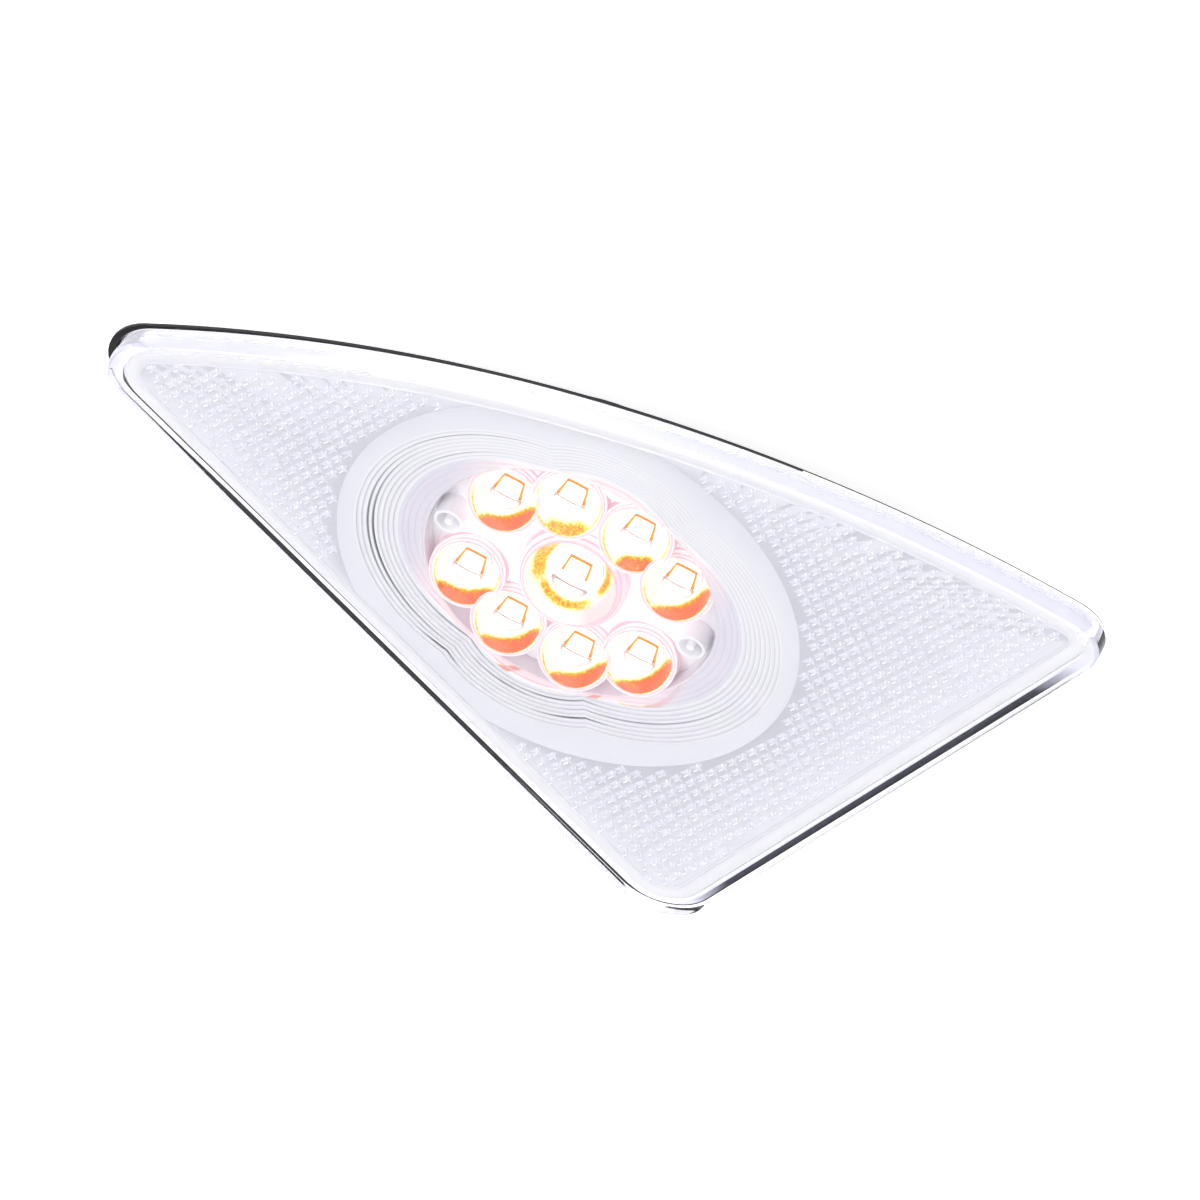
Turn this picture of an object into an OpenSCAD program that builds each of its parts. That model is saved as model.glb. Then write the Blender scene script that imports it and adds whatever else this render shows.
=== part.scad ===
// Fin-shaped side repeater lamp with nine light cells behind a clear thick-edged lens.
// X runs along the lamp towards its blunt end, Y towards its curved edge, Z out of the lens.
// The origin is the centre of the tub's flat rear face, which is also the middle of the window.

/* [Outline] */
// Centre of the tip corner, behind the lamp's middle
tip_x = 88.4; // [84:0.1:94]
// Centre of the tip corner, across the lamp
tip_y = -1.2; // [-4:0.1:4]
// Radius of the tip corner
tip_r = 11.5; // [10:0.1:13]
// Centre of the upper blunt corner, ahead of the lamp's middle
upper_x = 89.2; // [85:0.1:94]
// Centre of the upper blunt corner, across the lamp
upper_y = 56.1; // [53:0.1:60]
// Radius of the upper blunt corner
upper_r = 8.4; // [7.5:0.1:11]
// Centre of the lower corner, ahead of the lamp's middle
lower_x = 41.5; // [38:0.1:46]
// Centre of the lower corner, across the lamp
lower_y = 63.9; // [61:0.1:68]
// Radius of the lower corner
lower_r = 12.3; // [10:0.1:14]
// Radius of the long curved edge
edge_r = 281; // [270:1:300]

/* [Lens] */
// Height of the clear rim, from its foot to the front face
rim_h = 4.8; // [4.2:0.1:6]
// Thickness of the clear rim
rim_t = 3.2; // [2.6:0.1:3.6]
// Thickness of the front wall
front_t = 1.6; // [1.2:0.1:2]
// Radius of the rounded front edge
lens_round = 1.2; // [0.6:0.1:1.4]

/* [Prism plate] */
// Gap between the front wall and the tops of the prisms
lens_gap = 0.3; // [0.2:0.05:0.6]
// Thickness of the plate under the prisms
plate_t = 1.0; // [0.8:0.05:1.4]
// Width of the smooth border between the plate's edge and the prism field
border_w = 3.4; // [2.8:0.1:4.2]
// Gap between the clear rim and the plate's edge
plate_gap = 0.2; // [0.1:0.05:0.4]
// Radius of the smooth ring round the window
ring_r = 48.4; // [46:0.1:50]
// Prism spacing along a row
prism_pitch = 3.15; // [3.1:0.05:4]
// Height of a prism
prism_h = 0.6; // [0.4:0.05:0.9]
// Direction of the prism rows, from X
prism_turn = 16.4; // [0:0.1:60]
// Angle between the two directions of rows
prism_skew = 49.6; // [48:0.1:62]

/* [Window] */
// Radius of the window's two side lobes
side_lobe_r = 39; // [38:0.1:40]
// Distance of each side lobe's centre from the middle
side_lobe_x = 5.7; // [5:0.1:6.5]
// Radius of the window's upper and lower lobes
end_lobe_r = 24.6; // [23.5:0.1:25]
// Distance of each upper or lower lobe's centre from the middle
end_lobe_y = 17.4; // [16.5:0.1:18]
// Number of steps down to the bowls
step_count = 9; // [7:1:9]
// Width of a step
step_w = 1.05; // [0.9:0.01:1.1]
// Drop of a step
step_drop = 0.14; // [0.1:0.01:0.18]

/* [Light cells] */
// Inner pair of light cells, from the middle along X
inner_cell_x = 7.4; // [7.2:0.1:8]
// Inner pair of light cells, from the middle along Y
inner_cell_y = 20.3; // [20:0.1:21]
// Outer pair of light cells, from the middle along X
outer_cell_x = 18.9; // [18.5:0.1:19.5]
// Outer pair of light cells, from the middle along Y
outer_cell_y = 12.8; // [12.5:0.1:13.2]
// Radius of a bowl at its mouth
bowl_r = 7; // [6.9:0.05:7.1]
// Radius of the middle bowl at its mouth
middle_bowl_r = 10.4; // [9.8:0.1:10.8]
// Wall of a bowl at its rim
bowl_wall = 0.7; // [0.6:0.05:0.8]
// Radius of a dome
dome_r = 3.7; // [3.5:0.05:3.8]
// Radius of the middle dome
middle_dome_r = 5.1; // [4.8:0.1:5.2]
// Height of the straight part of a dome
dome_base = 2.4; // [2:0.1:2.4]
// Rise of a dome's round part, as a share of its radius
dome_rise = 0.86; // [0.8:0.01:0.88]
// Thickness of the pan's floor, round the bowls
pan_t = 0.9; // [0.8:0.05:1]
// Thickness of the pan's side wall
pan_wall = 0.9; // [0.8:0.05:1]
// Clearance of the pan in the tub
pan_fit = 0.4; // [0.3:0.05:0.5]
// Side of a light package
chip_w = 4.2; // [3.8:0.1:4.4]
// Height of a light package
chip_h = 1.0; // [0.8:0.05:1.2]
// Clearance round each dome
dome_fit = 0.15; // [0.1:0.05:0.25]
// Distance of each side boss from the middle
side_boss_x = 26.6; // [26.4:0.1:26.7]
// Radius of a side boss
side_boss_r = 3.2; // [2.8:0.1:3.3]
// Wall of a side boss, and radius of its middle pin
side_boss_t = 0.9; // [0.7:0.1:1]

/* [Circuit board] */
// Radius of the circuit board
board_r = 30.5; // [30.3:0.1:31]
// Thickness of the circuit board
board_t = 1.6; // [1.4:0.1:2]
// Depth from the flange's foot to the top of the board
board_depth = 2.2; // [2:0.1:2.6]
// Distance of each board screw from the middle
screw_y = 27.2; // [27:0.1:27.4]
// Diameter of a board screw
screw_d = 2.4; // [2:0.1:2.6]
// Diameter of a board screw's head
screw_head_d = 4.6; // [4:0.1:4.8]
// Height of a board screw's head
screw_head_h = 1.4; // [1.2:0.1:1.5]
// Depth of a board screw in its boss
screw_grip = 7; // [6:0.5:8]
// Clearance of the board's holes round the screws
screw_fit = 0.3; // [0.2:0.05:0.4]

/* [Housing] */
// Depth of the tub, from its rear face to the flange's foot
tub_depth = 15; // [14:0.5:18]
// Outer radius of the tub
tub_r = 34; // [33.5:0.1:36]
// Wall of the tub
tub_wall = 2.2; // [1.8:0.1:2.4]
// Thickness of the tub's rear wall
floor_t = 2.4; // [2.2:0.1:3]
// Thickness of the flange
flange_t = 1.9; // [1.7:0.1:2.4]
// Thickness of the flange's outer lip, which shows under the lens
lip_t = 0.7; // [0.6:0.05:0.9]
// How far the lip reaches past the lens at the tip
tip_overhang = 1.6; // [1:0.1:2]
// Width of the lip that the lens is welded to
weld_w = 0.6; // [0.5:0.05:0.8]
// Set-back of the housing from the lens's edge
edge_inset = 0.2; // [0.1:0.05:0.5]
// Width of the thin edge of the flange
thin_w = 3.6; // [3:0.1:4]
// Height of the stiffening ribs under the flange
rib_h = 3.4; // [3:0.1:3.8]
// Thickness of a stiffening rib
rib_t = 1.6; // [1.2:0.1:2]

/* [Gasket] */
// Thickness of the foam gasket
gasket_t = 1.5; // [1:0.1:2.5]
// Width of the foam gasket
gasket_w = 3.4; // [3:0.1:3.6]
// Set-back of the gasket from the lens's edge
gasket_inset = 4.2; // [3.8:0.1:4.4]

/* [Mounting studs] */
// Diameter of a mounting stud
stud_d = 5; // [4:0.5:6]
// Length of a stud beyond its boss
stud_out = 8; // [5:0.5:8.5]
// Radius of the stud's head, which is moulded into its boss
stud_head_r = 3.6; // [3.2:0.1:4]
// Height of the stud's head
stud_grip = 4.8; // [4.2:0.1:5]
// Radius of a stud boss
stud_boss_r = 6; // [5.5:0.1:7]
// Height of a stud boss behind the flange
stud_boss_h = 4; // [3:0.5:5]
// Tip stud, behind the lamp's middle
tip_stud_x = 68; // [64:0.5:70]
// Upper stud, ahead of the lamp's middle
upper_stud_x = 68; // [64:0.5:70]
// Upper stud, across the lamp
upper_stud_y = 34; // [30:0.5:36]
// Lower stud, ahead of the lamp's middle
lower_stud_x = 36; // [32:0.5:40]
// Lower stud, across the lamp
lower_stud_y = 52; // [48:0.5:54]

/* [Connector] */
// Width of the connector header
header_w = 15; // [14:0.5:16]
// Height of the connector header
header_h = 8; // [7.6:0.1:8.2]
// Length of the header outside its collar
header_out = 11; // [9:0.5:14]
// Wall of the header
header_wall = 1.4; // [1.2:0.1:1.6]
// Clearance of the header in the tub
header_fit = 0.1; // [0.05:0.05:0.2]
// Spacing of the two contacts
contact_gap = 7.6; // [7:0.1:8]
// Thickness of a contact
contact_t = 0.8; // [0.6:0.1:1]
// Width of a contact
contact_w = 2.8; // [2:0.1:3]

/* [Vent] */
// Radius of the vent plug
vent_r = 5; // [4:0.1:6]
// Thickness of the vent plug
vent_t = 1.0; // [0.8:0.1:1.2]
// Vent plug, behind the lamp's middle
vent_x = 14; // [10:0.5:18]

/* [Hidden] */

// Heights, from the tub's rear face
flange_z = tub_depth;
flange_top = flange_z + flange_t;
front_z = flange_top + rim_h;
prism_top = front_z - front_t - lens_gap;
plate_top = prism_top - prism_h;
plate_bottom = plate_top - plate_t;
board_top = flange_z - board_depth;
board_bottom = board_top - board_t;
array_top = plate_top - (step_count - 1) * step_drop;
array_t = array_top - (flange_top - lip_t / 2);
pan_z = board_top + pan_t;
pan_r = tub_r - tub_wall - pan_fit;
rim_high = prism_top;
rim_low = pan_z + dome_fit;
flange_steps = step_count - 3;
over = 0.5;

// Insets from the lens's edge
plate_inset = rim_t + plate_gap;
field_inset = plate_inset + border_w;
housing_w = edge_inset + weld_w;
foot_t = lip_t / 2;
foot_z = flange_top - foot_t;
skirt_t = 1.0;

// Corner circles of the outline, anticlockwise from the tip, each as x, y and radius
corners = [[-tip_x, tip_y, tip_r], [lower_x, -lower_y, lower_r], [upper_x, upper_y, upper_r]];
arc_steps = 14;
edge_steps = 36;

// The long edge's centre lies where its circle touches the tip and upper corners from outside
tip_reach = edge_r - tip_r;
upper_reach = edge_r - upper_r;
span = [upper_x + tip_x, upper_y - tip_y];
span_l = norm(span);
along = (tip_reach * tip_reach - upper_reach * upper_reach + span_l * span_l) / (2 * span_l);
drop = sqrt(tip_reach * tip_reach - along * along);
edge_c = [-tip_x, tip_y] + span / span_l * along + [span.y, -span.x] / span_l * drop;

// Angle of the outward normal on the straight edge from corner a to corner b
function normal(a, b) = let (d = [b.x - a.x, b.y - a.y])
    atan2(d.y, d.x) - acos((a.z - b.z) / norm(d));
function arc(c, r, from, to, n) =
    [for (i = [0:n]) let (t = from + (to - from) * i / n) [c.x + r * cos(t), c.y + r * sin(t)]];
function aim(from, to) = atan2(to.y - from.y, to.x - from.x);

low_normal = normal(corners[0], corners[1]);
blunt_normal = normal(corners[1], corners[2]);
upper_aim = aim(edge_c, corners[2]);
tip_aim = aim(edge_c, corners[0]);

// Outline of the lip, which runs on past the lens at the tip
function lip_outline(d) = [for (p = outline(d))
    [p.x - tip_overhang * max(0, (upper_x - p.x) / (upper_x + tip_x)), p.y]];

// Outline of the lamp, set in by d
function outline(d) = concat(
    arc(corners[0], tip_r - d, tip_aim, 360 + low_normal, arc_steps),
    arc(corners[1], lower_r - d, low_normal, blunt_normal, arc_steps),
    arc(corners[2], upper_r - d, blunt_normal, upper_aim, arc_steps),
    [for (i = [1:edge_steps - 1]) let (t = upper_aim + (tip_aim - upper_aim) * i / edge_steps)
        [edge_c.x + (edge_r - d) * cos(t), edge_c.y + (edge_r - d) * sin(t)]]);

function cross_z(a, b, p) = (b.x - a.x) * (p.y - a.y) - (b.y - a.y) * (p.x - a.x);
// True where point p lies inside the outline set in by d
function inside(p, pts) = min([for (i = [0:len(pts) - 1])
    let (a = pts[i], b = pts[(i + 1) % len(pts)]) norm(b - a) < 0.001 ? 1 : cross_z(a, b, p)]) > 0;

// A closed solid that follows the outline through a list of [inset, z] steps, flat at both ends
module loft(steps) {
    n = len(outline(0));
    m = len(steps);
    points = [for (s = steps) for (p = outline(s[0])) [p.x, p.y, s[1]]];
    sides = [for (k = [0:m - 2]) for (i = [0:n - 1]) let (j = (i + 1) % n)
        [k * n + i, k * n + j, (k + 1) * n + j, (k + 1) * n + i]];
    top = [[for (i = [0:n - 1]) n - 1 - i]];
    bottom = [[for (i = [0:n - 1]) (m - 1) * n + i]];
    polyhedron(points, concat(sides, top, bottom), convexity = 6);
}

module slab(inset, z, h) translate([0, 0, z]) linear_extrude(h) polygon(outline(inset));

module at_z(z) translate([0, 0, z]) children();

// Four-lobed window shape, grown by g
module window(g, h) {
    for (s = [-1, 1]) {
        translate([s * side_lobe_x, 0, 0]) cylinder(r = side_lobe_r + g, h = h, $fn = 72);
        translate([0, s * end_lobe_y, 0]) cylinder(r = end_lobe_r + g, h = h, $fn = 60);
    }
}

// Places of the nine light cells, with the middle one last
cells = concat(
    [for (sy = [1, -1]) for (sx = [-1, 1]) [sx * outer_cell_x, sy * outer_cell_y]],
    [for (sy = [1, -1]) for (sx = [-1, 1]) [sx * inner_cell_x, sy * inner_cell_y]],
    [[0, 0]]);
middle = len(cells) - 1;

// Cover of a board screw's head, in the pan
cover_t = 0.3;
cover_r = screw_head_d / 2 + 2 * cover_t;

function bowl_radius(i) = i == middle ? middle_bowl_r : bowl_r;
function dome_radius(i) = i == middle ? middle_dome_r : dome_r;

// Clear cover: flat front, rounded front edge and a deep rim
module outer_lens() {
    round_steps = 5;
    edge = [for (i = [0:round_steps]) let (a = 90 - 90 * i / round_steps)
        [lens_round * (1 - cos(a)), front_z - lens_round * (1 - sin(a))]];
    color([0.89, 0.89, 0.93, 0.4])
    loft(concat(edge, [[0, flange_top], [rim_t, flange_top], [rim_t, front_z - front_t]]));
}

// Prism places: a hexagonal lattice inside the border and outside the ring
row_dir = [cos(prism_turn), sin(prism_turn)];
row_step = [cos(prism_turn + prism_skew), sin(prism_turn + prism_skew)];
lattice_reach = 40;
field_edge = outline(field_inset + prism_pitch * 0.45);
prisms = [for (i = [-lattice_reach:lattice_reach]) for (j = [-lattice_reach:lattice_reach])
    let (p = prism_pitch * (i * row_dir + j * row_step))
    if (norm(p) > ring_r + prism_pitch / 2 && inside(p, field_edge)) p];

// One three-sided prism, whose faces meet over the middle of its triangle
prism_base = [for (v = [-row_dir - row_step, 2 * row_dir - row_step, 2 * row_step - row_dir])
    v * prism_pitch / 3 * 0.97];
module prism() {
    hull() linear_extrude(prism_h, scale = 0) polygon(prism_base);
}

// Pale moulding: prism field, smooth ring and the stepped window
module prism_plate() {
    color([0.9, 0.9, 0.95])
    difference() {
        union() {
            slab(plate_inset, plate_bottom, plate_t);
            difference() {
                slab(plate_inset, foot_z, plate_top - foot_z);
                slab(plate_inset + skirt_t, foot_z - over, plate_top - foot_z + 2 * over);
            }
            difference() {
                slab(housing_w, foot_z, foot_t);
                slab(plate_inset + skirt_t, foot_z - over, foot_t + 2 * over);
            }
            at_z(array_top) window(step_w * 2, plate_top - array_top);
            for (p = prisms) translate([p.x, p.y, plate_top - 0.001]) prism();
        }
        for (i = [0:step_count - 1])
            at_z(plate_top - i * step_drop) window(-i * step_w, over + prism_h);
        at_z(array_top - over) window(-step_count * step_w, plate_top);
    }
}

// Ball that hollows out bowl i: it passes through the dome's foot and the highest point of the rim
function foot_radius(i) = dome_radius(i) + dome_fit;
function ball_z(i) = let (f = foot_radius(i), r = bowl_radius(i))
    (r * r + rim_high * rim_high - f * f - board_top * board_top) / (2 * (rim_high - board_top));
function ball_r(i) = norm([foot_radius(i), ball_z(i) - board_top]);

// The rim of bowl i slants down towards the curved edge, from the highest to the lowest point
function slant(i) = atan((rim_high - rim_low) / (2 * (bowl_radius(i) + bowl_wall)));

module bowl_body(i) {
    reach = 2 * bowl_radius(i);
    intersection() {
        at_z(board_top) cylinder(r = bowl_radius(i) + bowl_wall, h = rim_high - board_top, $fn = 64);
        at_z((rim_high + rim_low) / 2) rotate([-slant(i), 0, 0])
            translate([-reach, -reach, -2 * reach]) cube(2 * reach);
    }
}

// Moulding with the nine slanted bowls, in a pan that stands on the circuit board
module bowl_array() {
    color([0.95, 0.93, 0.9])
    difference() {
        union() {
            difference() {
                union() {
                    at_z(array_top - array_t) window(-flange_steps * step_w, array_t);
                    at_z(board_top) cylinder(r = pan_r, h = array_top - board_top, $fn = 120);
                }
                at_z(pan_z) cylinder(r = pan_r - pan_wall, h = tub_depth, $fn = 120);
            }
            for (i = [0:middle]) translate([cells[i].x, cells[i].y, 0]) bowl_body(i);
            for (s = [-1, 1]) translate([0, s * screw_y, board_top])
                cylinder(r = cover_r, h = screw_head_h + 2 * cover_t, $fn = 48);
            for (s = [-1, 1]) translate([s * side_boss_x, 0, pan_z]) side_boss();
        }
        for (i = [0:middle]) translate([cells[i].x, cells[i].y, 0]) {
            at_z(ball_z(i)) sphere(r = ball_r(i), $fn = 96);
            at_z(board_top - over) cylinder(r = foot_radius(i), h = 2 * over, $fn = 64);
        }
        for (s = [-1, 1]) translate([0, s * screw_y, board_top - over])
            cylinder(r = cover_r - cover_t, h = screw_head_h + cover_t + over, $fn = 48);
    }
}

// Round boss with a middle pin, beside the bowls
module side_boss() {
    boss_h = array_top + pan_fit - pan_z;
    at_z(-pan_t / 2) difference() {
        cylinder(r = side_boss_r, h = boss_h, $fn = 48);
        at_z(pan_t / 2) cylinder(r = side_boss_r - side_boss_t, h = boss_h, $fn = 48);
    }
    at_z(-pan_t / 2) cylinder(r = side_boss_t, h = boss_h, $fn = 32);
}

// Clear dome over light cell i, hollow where it fits over the package
module dome(i) {
    r = dome_radius(i);
    package_fit = 0.1;
    color([0.92, 0.95, 1, 0.5])
    translate([cells[i].x, cells[i].y, board_top])
    difference() {
        union() {
            cylinder(r = r, h = dome_base, $fn = 64);
            at_z(dome_base) intersection() {
                at_z((dome_rise - 1) * r) sphere(r = r, $fn = 64);
                cylinder(r = r, h = r, $fn = 64);
            }
        }
        at_z(-over) linear_extrude(chip_h + over + package_fit)
            square(chip_w + 2 * package_fit, center = true);
    }
}

// Square light package under dome i
module led(i) {
    lip = 0.5;
    color([1, 0.75, 0.3])
    translate([cells[i].x, cells[i].y, board_top])
    difference() {
        linear_extrude(chip_h) square(chip_w, center = true);
        at_z(chip_h - 0.2) linear_extrude(over) square(chip_w - 2 * lip, center = true);
    }
}

// Board with screw holes and a slot for each contact
module circuit_board() {
    color([0.1, 0.4, 0.2])
    difference() {
        at_z(board_bottom) cylinder(r = board_r, h = board_t, $fn = 120);
        for (s = [-1, 1]) translate([0, s * screw_y, board_bottom - over])
            cylinder(d = screw_d + 2 * screw_fit, h = board_t + 2 * over, $fn = 32);
    }
}

// Screws that hold the board to its bosses, with a hexagonal recess
module board_screws() {
    recess_r = 0.9;
    recess_h = 0.8;
    color([0.75, 0.75, 0.78])
    for (s = [-1, 1]) translate([0, s * screw_y, board_top]) {
        difference() {
            cylinder(d = screw_head_d, h = screw_head_h, $fn = 48);
            at_z(screw_head_h - recess_h) cylinder(r = recess_r, h = recess_h + over, $fn = 6);
        }
        at_z(-board_t - screw_grip) cylinder(d = screw_d, h = board_t + screw_grip, $fn = 48);
    }
}

// Row of chip resistors on the back of the board
module resistors() {
    size = [3.2, 1.6, 0.6];
    spacing = 4;
    color([0.15, 0.15, 0.17])
    for (i = [0:3]) translate([-12 + i * spacing, 14, board_bottom - size.z])
        translate([-size.y / 2, -size.x / 2, 0]) cube([size.y, size.x, size.z]);
}

module driver_chip() {
    size = [6, 5, 1.5];
    lead = [0.5, 1, 0.4];
    color([0.12, 0.12, 0.13])
    translate([-3, 0, board_bottom]) {
        translate([-size.x / 2, -size.y / 2, -size.z]) cube(size);
        for (i = [0:3]) for (s = [-1, 1])
            translate([-2.25 + i * 1.3, s * (size.y / 2 + lead.y / 2) - lead.y / 2, -lead.z]) cube(lead);
    }
}

module capacitor() {
    can_r = 3.15;
    can_h = 5;
    base_h = 0.8;
    color([0.8, 0.8, 0.82])
    translate([-16, -2, board_bottom]) {
        at_z(-can_h - base_h) cylinder(r = can_r, h = can_h, $fn = 64);
        translate([-can_r, -can_r, -base_h]) cube([2 * can_r, 2 * can_r, base_h]);
    }
}

module protection_diode() {
    size = [4.4, 2.6, 2.1];
    color([0.12, 0.12, 0.13])
    translate([6, 13, board_bottom - size.z]) translate([-size.x / 2, -size.y / 2, 0]) cube(size);
}

studs = [[-tip_stud_x, 0], [upper_stud_x, upper_stud_y], [lower_stud_x, -lower_stud_y]];
header_up = 0.4;
header_z = floor_t + header_h / 2 + header_up;
collar_t = 1.6;
collar_over = 1.2;
pad_x = tub_r + 0.6;

// Length of a rib from inside the tub's wall to inside a stud boss's wall
function rib_length(p) = norm(p) - (stud_boss_r + stud_head_r) / 2 - (tub_r - tub_wall / 2);

// Black moulding: thin-edged flange, ribs, round tub, screw bosses and stud bosses
module housing() {
    inner_r = tub_r - tub_wall;
    ledge_h = board_bottom - floor_t;
    boss_r = screw_d / 2 + 1.8;
    color([0.1, 0.1, 0.11])
    difference() {
        union() {
            at_z(flange_top - lip_t) linear_extrude(lip_t) polygon(lip_outline(edge_inset));
            slab(thin_w, flange_z, flange_t - foot_t);
            cylinder(r = tub_r, h = flange_z + over, $fn = 180);
            for (p = studs) translate([p.x, p.y, flange_z - stud_boss_h])
                cylinder(r = stud_boss_r, h = stud_boss_h + over, $fn = 64);
            for (p = studs) rotate(atan2(p.y, p.x))
                translate([tub_r - tub_wall / 2, -rib_t / 2, flange_z - rib_h])
                    cube([rib_length(p), rib_t, rib_h + over]);
            translate([0, -header_w / 2 - collar_over, floor_t + header_up - collar_over])
                cube([pad_x, header_w + 2 * collar_over, header_h + 2 * collar_over]);
        }
        at_z(foot_z) linear_extrude(foot_t + over) polygon(outline(housing_w));
        at_z(floor_t) cylinder(r = inner_r, h = flange_top, $fn = 180);
        translate([0, -header_w / 2 - header_fit, header_z - header_h / 2 - header_fit])
            cube([tub_r + 2, header_w + 2 * header_fit, header_h + 2 * header_fit]);
        for (p = studs) translate([p.x, p.y, flange_z - stud_boss_h - over])
            cylinder(r = stud_head_r, h = stud_grip + over, $fn = 64);
        translate([-vent_x, 0, -over]) cylinder(r = vent_r, h = vent_t + 0.3 + over, $fn = 64);
        translate([-vent_x, 0, 0]) cylinder(r = vent_r / 3, h = floor_t + over, $fn = 32);
    }
    color([0.1, 0.1, 0.11])
    for (s = [-1, 1]) difference() {
        union() {
            translate([0, s * screw_y, floor_t - 0.2]) cylinder(r = boss_r, h = ledge_h + 0.2, $fn = 48);
            translate([-rib_t / 2, s > 0 ? screw_y : -inner_r - 0.5, floor_t - 0.2])
                cube([rib_t, inner_r - screw_y + 0.5, ledge_h + 0.2]);
        }
        translate([0, s * screw_y, board_bottom - screw_grip - 0.6])
            cylinder(d = screw_d, h = screw_grip + 0.6 + over, $fn = 48);
    }
}

// Foam gasket behind the flange
module gasket() {
    color([0.05, 0.05, 0.05])
    difference() {
        slab(gasket_inset, flange_z - gasket_t, gasket_t);
        slab(gasket_inset + gasket_w, flange_z - gasket_t - over, gasket_t + 2 * over);
    }
}

// Two-way connector header in the tub's side, open towards the blunt end
module connector_header() {
    back_x = tub_r - 4;
    wall = header_wall;
    color([0.12, 0.12, 0.13])
    difference() {
        union() {
            translate([back_x, -header_w / 2, header_z - header_h / 2])
                cube([pad_x + collar_t + header_out - back_x, header_w, header_h]);
            translate([pad_x, -header_w / 2 - collar_over, header_z - header_h / 2 - collar_over])
                cube([collar_t, header_w + 2 * collar_over, header_h + 2 * collar_over]);
        }
        translate([pad_x, -header_w / 2 + wall, header_z - header_h / 2 + wall])
            cube([collar_t + header_out + over, header_w - 2 * wall, header_h - 2 * wall]);
        for (s = [-1, 1])
            translate([back_x - over, s * contact_gap / 2 - contact_t / 2, header_z - contact_w / 2])
                cube([pad_x, contact_t, contact_w]);
    }
}

// Flat contact: a blade in the header, which turns up to meet the board
module contact(s) {
    inner_x = tub_r - 10;
    tip_in = 2;
    color([0.75, 0.62, 0.35])
    translate([0, s * contact_gap / 2 - contact_t / 2, 0]) {
        translate([inner_x, 0, header_z - contact_w / 2])
            cube([pad_x + collar_t + header_out - tip_in - inner_x, contact_t, contact_w]);
        translate([inner_x, 0, header_z - contact_w / 2])
            cube([contact_w, contact_t, board_bottom - header_z + contact_w / 2]);
    }
}

// Breathing plug, sunk in the rear face
module vent_plug() {
    color([0.3, 0.3, 0.32])
    translate([-vent_x, 0, 0.3]) cylinder(r = vent_r, h = vent_t, $fn = 64);
}

// Steel stud: a head in the boss and a plain shank with a lead-in at its end
module stud(p) {
    lead_in = 0.8;
    length = stud_grip + stud_out;
    shank_r = stud_d / 2;
    color([0.7, 0.71, 0.73])
    translate([p.x, p.y, flange_z - stud_boss_h - stud_out])
    rotate_extrude($fn = 64)
        polygon([[0, 0], [shank_r - lead_in, 0], [shank_r, lead_in], [shank_r, stud_out],
            [stud_head_r, stud_out], [stud_head_r, length], [0, length]]);
}

outer_lens();
prism_plate();
bowl_array();
for (i = [0:middle]) dome(i);
for (i = [0:middle]) led(i);
circuit_board();
board_screws();
resistors();
driver_chip();
capacitor();
protection_diode();
housing();
gasket();
connector_header();
contact(1);  // contact_supply
contact(-1);  // contact_earth
vent_plug();
stud(studs[0]);  // stud_tip
stud(studs[1]);  // stud_upper
stud(studs[2]);  // stud_lower
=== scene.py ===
import bpy
import math
import numpy as np
from mathutils import Matrix, Vector


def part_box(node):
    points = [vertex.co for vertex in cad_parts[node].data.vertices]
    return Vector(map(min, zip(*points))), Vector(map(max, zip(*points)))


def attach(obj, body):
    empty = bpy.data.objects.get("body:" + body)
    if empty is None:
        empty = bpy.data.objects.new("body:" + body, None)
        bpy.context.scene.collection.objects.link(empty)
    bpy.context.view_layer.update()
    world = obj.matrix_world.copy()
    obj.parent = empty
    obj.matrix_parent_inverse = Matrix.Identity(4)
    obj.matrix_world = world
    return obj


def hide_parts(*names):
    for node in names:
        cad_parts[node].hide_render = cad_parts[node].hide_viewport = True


# Side repeater lamp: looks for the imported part. Lengths are in millimetres, except in the stage's
# section, and heights run up from the part's seat as they do in the frame.

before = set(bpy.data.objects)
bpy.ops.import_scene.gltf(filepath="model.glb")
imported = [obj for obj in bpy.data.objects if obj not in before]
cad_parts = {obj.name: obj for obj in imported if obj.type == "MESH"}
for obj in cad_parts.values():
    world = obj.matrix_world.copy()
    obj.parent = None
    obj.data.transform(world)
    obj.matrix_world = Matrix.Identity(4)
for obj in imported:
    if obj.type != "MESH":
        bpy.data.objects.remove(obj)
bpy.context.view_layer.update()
MM = 0.001


def node_box(name):
    """Low and high corner of a node of the frame."""
    low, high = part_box(name)
    return np.array(low) / MM, np.array(high) / MM


# Heights and sizes read from the frame
LENS_LOW, LENS_HIGH = node_box("outer_lens")
PLATE_LOW, PLATE_HIGH = node_box("prism_plate")
CHIP_LOW, CHIP_HIGH = node_box("led_9")
FRONT_Z = LENS_HIGH[2]
RIM_Z = LENS_LOW[2]
PRISM_TOP = PLATE_HIGH[2]
FOOT_Z = PLATE_LOW[2]
BOARD_Z = node_box("circuit_board")[1][2]
CHIP_TOP = CHIP_HIGH[2]
CHIP_W = CHIP_HIGH[0] - CHIP_LOW[0]

# Outline: x, y and radius of each corner, and radius of the long curved edge
TIP = (-88.4, -1.2, 11.5)
LOWER = (41.5, -63.9, 12.3)
UPPER = (89.2, 56.1, 8.4)
EDGE_R = 281.0

# Lens: thickness of rim and front, and radius of the front edge
RIM_T = 3.2
FRONT_T = 1.6
LENS_ROUND = 1.2
# Gap under the lens's foot, and the foot's bevel inwards and upwards
LENS_CLEAR = 0.04
LENS_BEVEL = (0.15, 0.2)

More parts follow.
